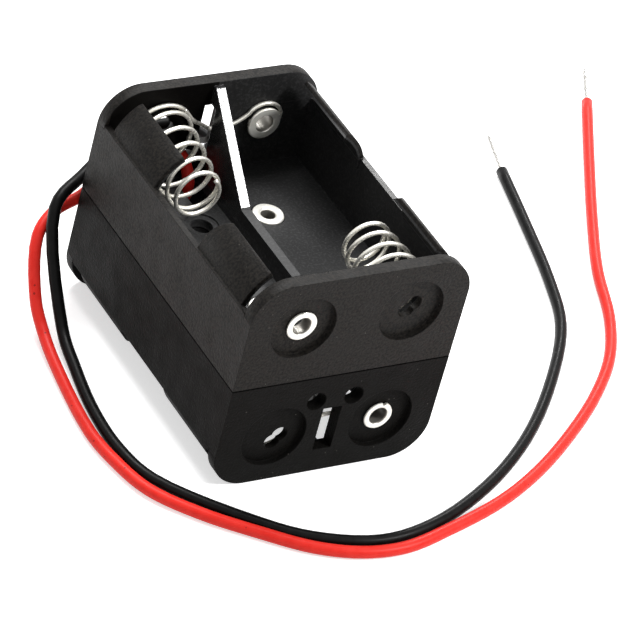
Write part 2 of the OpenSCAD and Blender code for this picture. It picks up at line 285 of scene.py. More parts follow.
class Effects:
    """Surface effects that several finishes share, each one node group."""

    def __init__(self) -> None:
        """Builds the groups once."""
        self.grain = self._grain()
        self.wear = self._wear()
        self.dust = self._dust()

    @staticmethod
    def _grain() -> bpy.types.NodeTree:
        """Spark-eroded mould grain: a fine height and a soft mottle."""
        sheet, source, out = new_group(
            "moulded_grain", {"Size mm": 0.12, "Mottle mm": 3.0}, ("Height", "Mottle")
        )
        fine = sheet.noise(source.outputs["Size mm"], Detail=3.0, Roughness=0.62)
        soft = sheet.noise(source.outputs["Mottle mm"], Detail=4.0, Roughness=0.55)
        sheet.link(fine, out.inputs["Height"])
        sheet.link(sheet.span(soft, 0.3, 0.7, 0.0, 1.0), out.inputs["Mottle"])
        return sheet.tree

    @staticmethod
    def _wear() -> bpy.types.NodeTree:
        """Drawing lines and handling marks on metal."""
        sheet, source, out = new_group(
            "handled_metal", {"Line mm": 0.05, "Patch mm": 1.2}, ("Lines", "Patches")
        )
        lines = sheet.noise(source.outputs["Line mm"], Detail=2.0, Distortion=0.4)
        patches = sheet.noise(source.outputs["Patch mm"], Detail=3.0)
        sheet.link(lines, out.inputs["Lines"])
        sheet.link(sheet.span(patches, 0.35, 0.68, 0.0, 1.0), out.inputs["Patches"])
        return sheet.tree

    @staticmethod
    def _dust() -> bpy.types.NodeTree:
        """Sparse small flecks, as a mask."""
        sheet, source, out = new_group(
            "flecks", {"Spacing mm": 1.0, "Reach": 0.12, "Share": 0.3}, ("Mask",)
        )
        place = sheet.add("TexCoord").outputs["Object"]
        cells = sheet.add(
            "TexVoronoi",
            Vector=place,
            Scale=sheet.math("DIVIDE", 1000.0, source.outputs["Spacing mm"]),
            Randomness=1.0,
        )
        near = sheet.math("LESS_THAN", cells.outputs["Distance"], source.outputs["Reach"])
        pick = sheet.add("SeparateColor", Color=cells.outputs["Color"]).outputs["Red"]
        chosen = sheet.math("LESS_THAN", pick, source.outputs["Share"])
        sheet.link(sheet.math("MULTIPLY", near, chosen), out.inputs["Mask"])
        return sheet.tree

    @staticmethod
    def place(sheet: Sheet, tree: bpy.types.NodeTree, **values: float) -> bpy.types.Node:
        """Puts a group into a material with its own values."""
        node = sheet.tree.nodes.new("ShaderNodeGroup")
        node.node_tree = tree
        for name, value in values.items():
            node.inputs[name.replace("_", " ")].default_value = value
        return node


def surface(name: str) -> tuple[bpy.types.Material, Sheet, bpy.types.Node]:
    """A new material with a Principled BSDF on its output."""
    material = bpy.data.materials.new(name)
    material.use_nodes = True
    sheet = Sheet(material.node_tree)
    shader = sheet.add("BsdfPrincipled")
    out = sheet.add("OutputMaterial")
    sheet.link(shader.outputs["BSDF"], out.inputs["Surface"])
    return material, sheet, shader


def raise_surface(
    sheet: Sheet, shader: bpy.types.Node, height: Any, depth: float, strength: float
) -> None:
    """Bumps a shader's surface.

    Args:
        sheet: the material's sheet.
        shader: its shader.
        height: socket of the height, 0 to 1.
        depth: the height's full depth, in millimetres.
        strength: strength of the effect.
    """
    bump = sheet.add("Bump", Distance=depth * MM)
    bump.inputs["Strength"].default_value = strength
    sheet.link(height, bump.inputs["Height"])
    sheet.link(bump.outputs["Normal"], shader.inputs["Normal"])


Colour = tuple[float, float, float, float]


@dataclass(frozen=True)
class MouldedPlastic:
    """Black moulding, finely grained outside, smoother in the bays.

    Places are in millimetres. up is the height over or under the seam.
    """

    outer: Colour = (0.0098, 0.0084, 0.007, 1.0)
    outer_light: Colour = (0.0165, 0.0143, 0.0122, 1.0)
    # pit is the colour of the grain's pits, and also the painted shade on the left bays' plate
    # faces.
    pit_and_shade: Colour = (0.0025, 0.0022, 0.002, 1.0)
    # under is painted shade: the lower tray's outside is drawn darker than the same moulding above.
    under: Colour = (0.003, 0.0029, 0.0026, 1.0)
    lower_tray_shade_share: float = 0.85
    bay: Colour = (0.014, 0.014, 0.0142, 1.0)
    bay_light: Colour = (0.03, 0.03, 0.0305, 1.0)
    fleck: Colour = (0.06, 0.056, 0.05, 1.0)
    gap: Colour = (0.0004, 0.0004, 0.0004, 1.0)
    outer_grain: tuple[float, float] = (0.4, 0.58)
    bay_grain: tuple[float, float] = (0.5, 0.62)
    outer_rough: tuple[float, float] = (0.46, 0.6)
    bay_rough: float = 0.5
    polished_rough: float = 0.2
    outer_specular: float = 0.11
    under_specular: float = 0.45
    dull_specular: float = 0.2
    bay_specular: float = 0.22
    polished_specular: float = 0.75
    bump_height: float = 0.09
    bump_strength: float = 0.8
    smooth_bump: float = 0.25
    seam: float = 0.1
    skin: float = 0.04
    bay_r: float = 6.45
    bay_x: float = 13.1
    divider_x: float = 0.9
    gusset_x: float = 0.7
    gusset_y: float = 6.2
    wall_top: tuple[float, float] = (9.38, 9.6)
    wall_top_gloss: float = 0.5

    def masks(self, sheet: Sheet) -> dict[str, Any]:
        """Masks of the faces that differ in finish.

        Returns:
            Masks of the bays' insides, of the polished narrow faces, of the
            lower tray, which is painted darker as shade, of the seam between the
            trays and of the plates' inner faces in the left bays, where shade is painted.
        """
        x, y, z = sheet.coordinates()
        ax, ay = (sheet.math("ABSOLUTE", value) for value in (x, y))
        over_seam = sheet.math("SUBTRACT", z, SIZES.tray_h * MM)
        up = sheet.math("ABSOLUTE", over_seam)
        between_plates = sheet.below(ay, SIZES.inner_y + self.skin)
        at_plate = sheet.above(ay, SIZES.inner_y - self.skin)
        inside = sheet.most(
            sheet.circle(ax, up, (SIZES.cell_x, SIZES.cell_z), self.bay_r),
            sheet.below(up, SIZES.cell_z),
            sheet.below(ax, self.divider_x),
            at_plate,
        )
        bay = sheet.product(between_plates, sheet.below(ax, self.bay_x), inside)
        gusset = sheet.product(
            sheet.below(ax, self.gusset_x),
            sheet.above(ay, self.gusset_y),
            sheet.below(ay, SIZES.inner_y),
        )
        low, high = self.wall_top
        wall_top = sheet.product(
            between_plates,
            sheet.above(up, low),
            sheet.below(up, high),
            sheet.above(x, SIZES.cell_x),
            self.wall_top_gloss,
        )
        return {
            "bay": bay,
            "polished": sheet.most(gusset, wall_top),
            "lower": sheet.below(over_seam, 0.0),
            "seam": sheet.below(up, self.seam),
            # painted shade mask: the plates' inner faces in the left bays.
            "left_plate_shade": sheet.product(bay, sheet.below(x, 0.0), at_plate),
        }

    def colour(self, sheet: Sheet, grain: Any, flecks: Any, masks: dict[str, Any]) -> Any:
        """The colour's socket."""
        height = grain.outputs["Height"]
        outer = sheet.blend(grain.outputs["Mottle"], self.outer, self.outer_light)
        outer = sheet.blend(sheet.span(height, *self.outer_grain, 0.0, 1.0), self.pit_and_shade, outer)
        # painted shade: the lower tray's outside is blended towards the darker under colour.
        under = sheet.math("MULTIPLY", masks["lower"], self.lower_tray_shade_share)
        outer = sheet.blend(under, outer, self.under)
        outer = sheet.blend(flecks.outputs["Mask"], outer, self.fleck)
        inner = sheet.blend(
            sheet.span(height, *self.bay_grain, 0.0, 1.0), self.bay, self.bay_light
        )
        # painted shade: the plates' inner faces in the left bays take the dark pit colour.
        inner = sheet.blend(masks["left_plate_shade"], inner, self.pit_and_shade)
        return sheet.blend(masks["seam"], sheet.blend(masks["bay"], outer, inner), self.gap)

    def roughness(self, sheet: Sheet, grain: Any, masks: dict[str, Any]) -> Any:
        """The roughness socket."""
        outer = sheet.span(grain.outputs["Mottle"], 0.0, 1.0, *self.outer_rough)
        return self.graded(sheet, masks, outer, self.bay_rough, self.polished_rough)

    def specular(self, sheet: Sheet, masks: dict[str, Any]) -> Any:
        """The specular level's socket, low in the seam and on the left bays' plates, whose dark
        colour is painted shade.
        """
        lowest = self.under_specular * self.outer_specular
        outer = sheet.span(masks["lower"], 0.0, 1.0, self.outer_specular, lowest)
        level = self.graded(sheet, masks, outer, self.bay_specular, self.polished_specular)
        dull = sheet.most(masks["seam"], masks["left_plate_shade"])
        return sheet.math("MULTIPLY", level, sheet.span(dull, 0.0, 1.0, 1.0, self.dull_specular))

    def material(self, effects: Effects) -> bpy.types.Material:
        """Builds the material."""
        made, sheet, shader = surface("moulded_black")
        grain = Effects.place(sheet, effects.grain, Size_mm=0.3, Mottle_mm=2.6)
        flecks = Effects.place(sheet, effects.dust, Spacing_mm=0.7, Reach=0.11, Share=0.16)
        masks = self.masks(sheet)
        sheet.link(self.colour(sheet, grain, flecks, masks), shader.inputs["Base Color"])
        sheet.link(self.roughness(sheet, grain, masks), shader.inputs["Roughness"])
        sheet.link(self.specular(sheet, masks), shader.inputs["Specular IOR Level"])
        smooth = sheet.most(masks["bay"], masks["polished"])
        depth = sheet.math(
            "MULTIPLY",
            grain.outputs["Height"],
            sheet.span(smooth, 0.0, 1.0, 1.0, self.smooth_bump),
        )
        raise_surface(sheet, shader, depth, self.bump_height, self.bump_strength)
        return made

    @staticmethod
    def graded(
        sheet: Sheet, masks: dict[str, Any], outer: Any, in_bay: float, on_polished: float
    ) -> Any:
        """Blends three values, outside, in the bays and on polished faces."""
        value = outer
        for mask, number in ((masks["bay"], in_bay), (masks["polished"], on_polished)):
            mix = sheet.add("Mix", data_type="FLOAT")
            sheet.link(mask, mix.inputs[0])
            sheet.link(value, mix.inputs[2])
            mix.inputs[3].default_value = number
            value = mix.outputs[0]
        return value


@dataclass(frozen=True)
class PlatedMetal:
    """Bright plated or tinned metal."""

    name: str
    colour: Colour
    dull: Colour
    rough: tuple[float, float] = (0.12, 0.3)
    metallic: float = 1.0
    bump: float = 0.12
    bore_r: float = 0.0
    rivet_bore_r: float = 0.86
    # bore is painted shade: the inside of the eyelets' and rivets' bores is drawn dark.
    bore: Colour = (0.2, 0.19, 0.17, 1.0)

    def in_bore(self, sheet: Sheet) -> Any:
        """Mask of the eyelets' and rivets' bores, where shade is painted."""
        x, y, z = sheet.coordinates()
        ax, ay = (sheet.math("ABSOLUTE", value) for value in (x, y))
        up = sheet.math("ABSOLUTE", sheet.math("SUBTRACT", z, SIZES.tray_h * MM))
        return sheet.most(
            sheet.circle(ax, up, (SIZES.cell_x, SIZES.cell_z), self.bore_r),
            sheet.circle(ax, ay, (SIZES.rivet_x, SIZES.rivet_y), self.rivet_bore_r),
        )

    def material(self, effects: Effects) -> bpy.types.Material:
        """Builds the material."""
        made, sheet, shader = surface(self.name)
        wear = Effects.place(sheet, effects.wear, Line_mm=0.06, Patch_mm=0.9)
        base = sheet.blend(wear.outputs["Patches"], self.colour, self.dull)
        if self.bore_r > 0:
            # painted shade inside the bores.
            base = sheet.blend(self.in_bore(sheet), base, self.bore)
        sheet.link(base, shader.inputs["Base Color"])
        shader.inputs["Metallic"].default_value = self.metallic
        sheet.link(
            sheet.span(wear.outputs["Patches"], 0.0, 1.0, *self.rough),
            shader.inputs["Roughness"],
        )
        raise_surface(sheet, shader, wear.outputs["Lines"], FINE_BUMP, self.bump)
        return made


@dataclass(frozen=True)
class Pvc:
    """Extruded insulation, semi-gloss, with a faint mottle and flecks."""

    name: str
    colour: Colour
    light: Colour
    fleck: Colour
    rough: tuple[float, float] = (0.3, 0.45)
    specular: float = 0.25
    fleck_share: float = 0.2
    bump: float = 0.35

    def material(self, effects: Effects) -> bpy.types.Material:
        """Builds the material."""
        made, sheet, shader = surface(self.name)
        grain = Effects.place(sheet, effects.grain, Size_mm=0.1, Mottle_mm=1.1)
        flecks = Effects.place(
            sheet, effects.dust, Spacing_mm=1.1, Reach=0.13, Share=self.fleck_share
        )
        base = sheet.blend(grain.outputs["Mottle"], self.colour, self.light)
        sheet.link(
            sheet.blend(flecks.outputs["Mask"], base, self.fleck),
            shader.inputs["Base Color"],
        )
        sheet.link(
            sheet.span(grain.outputs["Mottle"], 0.0, 1.0, *self.rough),
            shader.inputs["Roughness"],
        )
        shader.inputs["Specular IOR Level"].default_value = self.specular
        raise_surface(sheet, shader, grain.outputs["Height"], FINE_BUMP, self.bump)
        return made


class Slot(Enum):
    """The record's material slots."""

    TRAY = "tray_plastic"
    SPRING = "spring_wire"
    EYELET = "eyelet_metal"
    RED = "red_insulation"
    BLACK = "black_insulation"
    TINNED = "tinned_copper"
    SOLDER = "solder"


class Finishes:
    """All materials of the holder, one for each slot."""

    def __init__(self) -> None:
        """Builds every material once."""
        effects = Effects()
        recipes: dict[Slot, MouldedPlastic | PlatedMetal | Pvc] = {
            Slot.TRAY: MouldedPlastic(),
            Slot.SPRING: PlatedMetal(
                "nickel_wire", (0.95, 0.93, 0.86, 1), (0.88, 0.85, 0.76, 1), (0.22, 0.38), 0.65
            ),
            Slot.EYELET: PlatedMetal(
                "nickel_eyelet",
                (0.97, 0.955, 0.9, 1),
                (0.9, 0.88, 0.79, 1),
                (0.3, 0.46),
                0.55,
                bore_r=1.12,
            ),
            Slot.RED: Pvc(
                "red_pvc",
                (0.68, 0.022, 0.015, 1),
                (0.74, 0.034, 0.025, 1),
                (0.3, 0.016, 0.012, 1),
                specular=0.13,
                fleck_share=0.32,
            ),
            Slot.BLACK: Pvc(
                "black_pvc",
                (0.002, 0.002, 0.002, 1),
                (0.005, 0.005, 0.005, 1),
                (0.02, 0.02, 0.02, 1),
                specular=0.09,
                fleck_share=0.08,
            ),
            Slot.TINNED: PlatedMetal(
                "tinned_strands", (0.62, 0.61, 0.59, 1), (0.36, 0.35, 0.33, 1), (0.25, 0.45)
            ),
            Slot.SOLDER: PlatedMetal(
                "soft_solder", (0.8, 0.8, 0.81, 1), (0.62, 0.62, 0.63, 1), (0.14, 0.4)
            ),
        }
        self.made = {slot: recipe.material(effects) for slot, recipe in recipes.items()}

    def dress(self, piece: bpy.types.Object, slot: Slot) -> None:
        """Gives a piece its only material."""
        piece.data.materials.clear()
        piece.data.materials.append(self.made[slot])


def stand_for(
    piece: bpy.types.Object, node: str, slot: Slot, finishes: Finishes
) -> bpy.types.Object:
    """Dresses a new piece, ties it to the holder and lets it stand for a CAD node."""
    finishes.dress(piece, slot)
    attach(piece, HOLDER)
    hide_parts(node)
    LOG.info("made %s", piece.name)
    return piece


# ---- mesh tools


def mix(p: np.ndarray, q: np.ndarray, start: float, stop: float, t: float) -> np.ndarray:
    """The value at t of a line that is p at start and q at stop."""
    return (stop - t) / (stop - start) * p + (t - start) / (stop - start) * q


def smooth_path(points: Sequence[Point], steps: int) -> np.ndarray:
    """Centripetal spline through points.

    Args:
        points: the points, in millimetres.
        steps: pieces between two points.

    Returns:
        The points of the curve, first and last point kept.
    """
    p = np.array(points, float)
    p = np.vstack([2 * p[0] - p[1], p, 2 * p[-1] - p[-2]])
    out = []
    for i in range(1, len(p) - 2):
        p0, p1, p2, p3 = p[i - 1 : i + 3]
        t0 = 0.0
        t1 = t0 + math.sqrt(np.linalg.norm(p1 - p0))
        t2 = t1 + math.sqrt(np.linalg.norm(p2 - p1))
        t3 = t2 + math.sqrt(np.linalg.norm(p3 - p2))
        for k in range(steps):
            t = t1 + (t2 - t1) * k / steps
            a1, a2, a3 = mix(p0, p1, t0, t1, t), mix(p1, p2, t1, t2, t), mix(p2, p3, t2, t3, t)
            out.append(mix(mix(a1, a2, t0, t2, t), mix(a2, a3, t1, t3, t), t1, t2, t))
    out.append(p[-2])
    return np.array(out)


def path_length(path: np.ndarray) -> float:
    """Length along the points of a path."""
    return float(np.linalg.norm(np.diff(path, axis=0), axis=1).sum())


def path_frames(path: np.ndarray) -> tuple[np.ndarray, np.ndarray, np.ndarray]:
    """Tangents and two normals carried along the path without twist."""
    d = np.gradient(path, axis=0)
    t = d / np.linalg.norm(d, axis=1)[:, None]
    up = np.array([0, 0, 1.0]) if abs(t[0][2]) < 0.9 else np.array([1.0, 0, 0])
    u = np.cross(t[0], up)
    u /= np.linalg.norm(u)
    us = []
    for tangent in t:
        u = u - (u @ tangent) * tangent
        u /= np.linalg.norm(u)
        us.append(u)
    us = np.array(us)
    return t, us, np.cross(t, us)


def mesh_piece(
    name: str, verts: Sequence[Point], faces: Sequence[Sequence[int]]
) -> bpy.types.Object:
    """Makes a mesh object from points in millimetres.

    Args:
        name: the piece's name.
        verts: points in millimetres.
        faces: corner numbers of each face.

    Returns:
        The object, at the origin.
    """
    mesh = bpy.data.meshes.new(name)
    mesh.from_pydata([tuple(float(c) * MM for c in v) for v in verts], [], [list(f) for f in faces])
    mesh.validate()
    mesh.update()
    mesh.shade_smooth()
    mesh.set_sharp_from_angle(angle=math.radians(SHARP_DEG))
    made = bpy.data.objects.new(name, mesh)
    bpy.context.scene.collection.objects.link(made)
    return made


def tube_mesh(
    path: np.ndarray, radius: float, sides: int, edge: float = 0.0, start: int = 0
) -> tuple[list[np.ndarray], list[list[int]]]:
    """Closed round tube along a path.

    Args:
        path: centre line, in millimetres.
        radius: radius of the tube.
        sides: corners of its section.
        edge: width of the small bevel at both ends.
        start: number of the first vertex, for joining several tubes.

    Returns:
        Its vertices and faces.
    """
    t, u, w = path_frames(path)
    rings = [(path[i], u[i], w[i], radius) for i in range(len(path))]
    if edge > 0:
        rings[0] = (path[0] + t[0] * edge, u[0], w[0], radius)
        rings[-1] = (path[-1] - t[-1] * edge, u[-1], w[-1], radius)
        rings.insert(0, (path[0], u[0], w[0], radius - edge))
        rings.append((path[-1], u[-1], w[-1], radius - edge))
    verts: list[np.ndarray] = []
    angles = [2 * math.pi * k / sides for k in range(sides)]
    for centre, a, b, r in rings:
        verts += [centre + r * (math.cos(g) * a + math.sin(g) * b) for g in angles]
    faces: list[list[int]] = []
    for i in range(len(rings) - 1):
        for k in range(sides):
            m = start + i * sides + k
            n = start + i * sides + (k + 1) % sides
            faces.append([m, n, n + sides, m + sides])
    last = start + (len(rings) - 1) * sides
    faces.append([start + k for k in range(sides - 1, -1, -1)])
    faces.append([last + k for k in range(sides)])
    return verts, faces


@dataclass
class Turning:
    """A ring turned about the Y axis through a point.

    profile holds (radius, y) corners, in order round the section. shape may
    move each corner: it takes angle in degrees, radius and y, and gives the
    new radius and y.
    """

    name: str
    centre: Point
    profile: Corners
    axis: str = "y"
    segments: int = 64
    shape: Callable[[float, float, float], tuple[float, float]] | None = None

    def build(self) -> bpy.types.Object:
        """Makes the turned mesh."""
        verts, faces = [], []
        n = len(self.profile)
        for s in range(self.segments):
            angle = 360 * s / self.segments
            c, d = math.cos(math.radians(angle)), math.sin(math.radians(angle))
            for r, h in self.profile:
                if self.shape is not None:
                    r, h = self.shape(angle, r, h)
                offset = (r * c, h, r * d) if self.axis == "y" else (r * c, r * d, h)
                verts.append([self.centre[i] + offset[i] for i in range(3)])
        for s in range(self.segments):
            t = (s + 1) % self.segments
            for k in range(n):
                m = (k + 1) % n
                face = [s * n + k, s * n + m, t * n + m, t * n + k]
                faces.append(face if self.axis == "y" else face[::-1])
        made = mesh_piece(self.name, verts, faces)
        fix_normals(made)
        return made


def rolled_rim(radius: float, middle: float, t: float) -> Corners:
    """Half-round edge of a flange of thickness t, from its lower to its upper side."""
    angles = [math.radians(-90 + 180 * k / 8) for k in range(9)]
    return [(radius - t / 2 + t / 2 * math.cos(a), middle + t / 2 * math.sin(a)) for a in angles]


def rolled_mouth(bore_r: float, face: float, roll: float, steps: int) -> Corners:
    """Quarter-round mouth of a bore, from the flange's face inwards."""
    angles = [math.radians(90 * k / steps) for k in range(steps + 1)]
    return [
        (bore_r + roll - roll * math.sin(a), face - roll + roll * math.cos(a)) for a in angles
    ]


def upside_down(corners: Corners) -> Corners:
    """The same corners with their heights turned over, in reversed order."""
    return [(r, -h) for r, h in reversed(corners)]


def fix_normals(piece: bpy.types.Object) -> None:
    """Turns all faces of a closed mesh outwards."""
    work = bmesh.new()
    work.from_mesh(piece.data)
    bmesh.ops.recalc_face_normals(work, faces=work.faces)
    work.to_mesh(piece.data)
    work.free()


# ---- trays


@dataclass
class Trays:
    """The two mouldings, with softened edges."""

    bevel: float = 0.06
    sharp_deg: float = 35.0

    def build(self, nodes: dict[str, bpy.types.Object], finishes: Finishes) -> None:
        """Dresses the CAD solids of both trays."""
        for name in ("upper_tray", "lower_tray"):
            tray = nodes[name]
            weld = tray.modifiers.new("weld", "WELD")
            weld.merge_threshold = 0.000002
            plain = tray.modifiers.new("plain_faces", "DECIMATE")
            plain.decimate_type = "DISSOLVE"
            plain.angle_limit = math.radians(1.0)
            tray.modifiers.new("even_faces", "TRIANGULATE")
            soft = tray.modifiers.new("soft_edges", "BEVEL")
            soft.width = self.bevel * MM
            soft.use_clamp_overlap = False
            soft.segments = 2
            soft.limit_method = "ANGLE"
            soft.angle_limit = math.radians(self.sharp_deg)
            soft.harden_normals = True
            finishes.dress(tray, Slot.TRAY)
            LOG.info("dressed %s", name)


# ---- contacts


@dataclass
class ContactSpring:
    """One conical contact spring."""

    node: str
    joint: str
    side: int
    start_deg: float
    lean: tuple[float, float]
    near: bool
    lower: bool
    r0: float = 4.1
    r1: float = 2.5
    turns: int = 6
    length: float = 10.5
    steps: int = 40
    sides: int = 14

    def rise(self, t: float) -> float:
        """Height of the wire's middle above the base turn after t turns."""
        span = self.length - SIZES.wire_d
        first, last = 0.72, 0.62
        pitch = (span - first - last) / (self.turns - 2)
        if t < 1:
            return first * t
        if t > self.turns - 1:
            return span - last * (self.turns - t)
        return first + pitch * (t - 1)

    def to_place(self, p: Point) -> np.ndarray:
        """Moves a point of the upper far spring to this one's place."""
        q = np.array(p, float)
        if self.near:
            q = mirrored(q)
        if self.lower:
            q = turned_over(q)
        return q

    def path(self) -> np.ndarray:
        """Centre line of the wire, in millimetres."""
        out = []
        for i in range(self.steps * self.turns + 1):
            t = i / self.steps
            a = math.radians(self.start_deg + 360 * t)
            r = self.r0 + (self.r1 - self.r0) * t / self.turns
            up = self.rise(t)
            share = up / self.length
            out.append(
                self.to_place(
                    (
                        self.side * SIZES.cell_x + r * math.cos(a) + self.lean[0] * share,
                        SIZES.inner_y - up - SIZES.wire_d / 2 - SIZES.seat,
                        SIZES.axis_z + r * math.sin(a) + self.lean[1] * share,
                    )
                )
            )
        return np.array(out)

    def build(self, finishes: Finishes) -> bpy.types.Object:
        """Makes the spring and ties it to the holder."""
        verts, faces = tube_mesh(self.path(), SIZES.wire_d / 2, self.sides, 0.05)
        piece = mesh_piece(self.node + "_coil", verts, faces)
        stand_for(piece, self.node, Slot.SPRING, finishes)
        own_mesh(piece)
        return piece


@dataclass
class Link:
    """The spring's wire led across to the eyelet at the same end."""

    node: str
    lower: bool
    start_deg: float = 48.0
    coil_r: float = 4.1
    loop_r0: float = 2.4
    loop_r: float = 1.59

    def path(self) -> np.ndarray:
        """Centre line of the wire, in millimetres."""
        y = SIZES.inner_y - SIZES.wire_d / 2 - SIZES.seat
        cx, z0 = SIZES.cell_x, SIZES.axis_z
        a = math.radians(self.start_deg)
        sx, sz = -cx + self.coil_r * math.cos(a), z0 + self.coil_r * math.sin(a)
        points = [
            (sx, y, sz),
            (sx + 0.35 * math.sin(a), y, sz - 0.35 * math.cos(a)),
            (-2.5, y, z0 + 1.4),
            (-1.2, y, z0 + 0.6),
            (0.0, y, z0 - 0.1),
            (1.5, y, z0 - 0.2),
            (3.1, y, z0 + 0.2),
            (4.0, y, z0 + 0.7),
        ]
        for deg in range(150, -193, -18):
            share = min(1.0, max(0.0, (deg + 60) / 90))
            r = self.loop_r + (self.loop_r0 - self.loop_r) * share
            g = math.radians(deg)
            points.append((cx + r * math.cos(g), y, z0 + r * math.sin(g)))
        line = smooth_path(points, 5)
        return np.array([turned_over(p) for p in line]) if self.lower else line

    def build(self, finishes: Finishes) -> bpy.types.Object:
        """Makes the link."""
        verts, faces = tube_mesh(self.path(), SIZES.wire_d / 2, 14, 0.05)
        piece = mesh_piece(self.node + "_wire", verts, faces)
        return stand_for(piece, self.node, Slot.SPRING, finishes)


@dataclass
class Eyelet:
    """A tubular eyelet, clinched through an end plate."""

    node: str
    side: int
    near: bool
    lower: bool
    linked: bool
    split_deg: float
    split_wide: float = 9.0
    seed: int = 1
    tube_r: float = 1.3
    bore_r: float = 1.025
    flange_r: float = 1.9
    head_r: float = 2.05
    flange_t: float = 0.35
    mouth_roll: float = 0.3

    def section(self) -> Corners:
        """Corners of the section, radius and distance out from the web's face."""
        web = SIZES.plate_t - SIZES.recess_d
        grip = web + (SIZES.wire_d + 2 * SIZES.seat if self.linked else 0.0)
        t = self.flange_t
        back = grip + SIZES.seat
        flange = rolled_rim(self.flange_r, SIZES.seat + t / 2, t)
        mouth = rolled_mouth(self.bore_r, SIZES.seat + t, self.mouth_roll, 5)
        inner_mouth = upside_down(rolled_mouth(self.bore_r, back + t, self.mouth_roll, 5))
        head = rolled_rim(self.head_r, -(back + t / 2), t)
        tube = [(self.tube_r, -back), (self.tube_r, SIZES.seat)]
        return flange + mouth + inner_mouth + head + tube

    def rim(self, angle: float, r: float, h: float) -> tuple[float, float]:
        """Splits and splays the outer flange, and makes it a little uneven."""
        turn = math.radians(angle)
        wave = (math.sin(3 * turn + self.seed) + math.sin(5 * turn + 2.1 * self.seed)) / 2
        over = max(0.0, r - self.tube_r)
        if h > 0:
            gap = abs((angle - self.split_deg + 180) % 360 - 180)
            if gap < self.split_wide:
                keep = 0.25 + 0.75 * max(0.0, (gap / self.split_wide - 0.55) / 0.45)
                r = self.tube_r + over * keep if over > 0 else r
            elif gap < self.split_wide * 2.4:
                lift = 1 - (gap - self.split_wide) / (1.4 * self.split_wide)
                h += 0.22 * lift * over
                r += 0.12 * lift * over
            r += 0.05 * wave * over
        return r, h

    def build(self, finishes: Finishes) -> bpy.types.Object:
        """Makes the eyelet at its end plate."""
        face = SIZES.body_l / 2 - SIZES.recess_d
        sign = -1.0 if self.near else 1.0
        z = 2 * SIZES.tray_h - SIZES.axis_z if self.lower else SIZES.axis_z

        def place(angle: float, r: float, h: float) -> tuple[float, float]:
            """Shapes a corner, then points it out of this end plate."""
            r, h = self.rim(angle, r, h)
            return r, sign * (face + h)

        piece = Turning(
            self.node + "_ring",
            (self.side * SIZES.cell_x, 0.0, z),
            self.section(),
            segments=120,
            shape=place,
        ).build()
        return stand_for(piece, self.node, Slot.EYELET, finishes)


@dataclass
class Rivet:
    """A tubular rivet that holds the two floors together."""

    node: str
    at: tuple[float, float]
    bore_r: float = 0.8
    body_r: float = 1.2
    flange_r: float = 1.85
    flange_t: float = 0.35
    mouth_roll: float = 0.38
    sunk: float = 0.25

    def build(self, finishes: Finishes) -> bpy.types.Object:
        """Makes the rivet."""
        grip = SIZES.floor_t - self.sunk + SIZES.seat
        t = self.flange_t
        rim = rolled_rim(self.flange_r, grip + t / 2, t)
        half = [(self.body_r, grip)] + rim + rolled_mouth(self.bore_r, grip + t, self.mouth_roll, 6)
        piece = Turning(
            self.node + "_ring",
            (self.at[0], self.at[1], SIZES.tray_h),
            half + upside_down(half),
            axis="z",
            segments=72,
            shape=self.uneven,
        ).build()
        return stand_for(piece, self.node, Slot.EYELET, finishes)

    def uneven(self, angle: float, r: float, h: float) -> tuple[float, float]:
        """Makes the clinched rim a little uneven."""
        over = max(0.0, r - self.body_r)
        wave = math.sin(math.radians(2 * angle + 40)) + 0.5 * math.sin(math.radians(5 * angle))
        return r + 0.03 * wave * over, h


# ---- leads


def beside_near(points: Sequence[Point]) -> list[list[float]]:
    """Points given by X, distance in from the near plate and height above the parting plane."""
    return [[x, d - SIZES.inner_y, SIZES.tray_h + h] for x, d, h in points]


def beside_far(points: Sequence[Point]) -> list[list[float]]:
    """Points given by X, distance in from the far plate and height above the parting plane."""
    return [[x, SIZES.inner_y - d, SIZES.tray_h + h] for x, d, h in points]


def on_floor(points: Sequence[Point]) -> list[list[float]]:
    """Points of a lead that lies on the floor, given by X and Y."""
    return [[x, y, FLOOR_Z] for x, y in points]


RED_ROUTE = beside_far([
    [-4.2, 1.2, -4], [-3.4, 1.5, -2.9], [-2.7, 1.9, -1.6], [-2.3, 2.1, 0], [-2.2, 1.8, 1.6],
    [-2.3, 1, 2.8], [-2.35, -0.1, 3.4], [-2.35, -2.7, 3.43], [-3, -4.1, 3.1],
    [-4.6, -4.5, 2.3], [-10, -3.8, -1], [-12.6, -2.7, -2.2], [-16.2, -1.9, -3.2],
]) + [
    [-19, 16.6, 8.8], [-20.5, 11.9, 3.8], [-20.7, 8.6, 1.7], [-21.3, 3.9, 0.9],
] + on_floor([
    [-22.5, -7.2], [-22, -12.2], [-20.5, -17.4], [-16.8, -22.2], [-11.9, -26.6], [-6.8, -30.5],
    [-2, -32.5], [3.2, -33], [9.8, -31.5], [17.8, -28.9], [24.8, -25.4], [32.4, -20.3],
    [38.8, -15.1], [44.1, -9.5], [48, -3.1], [51.3, 5], [55.8, 13.6], [62.6, 25.6], [68.4, 35.6],
])
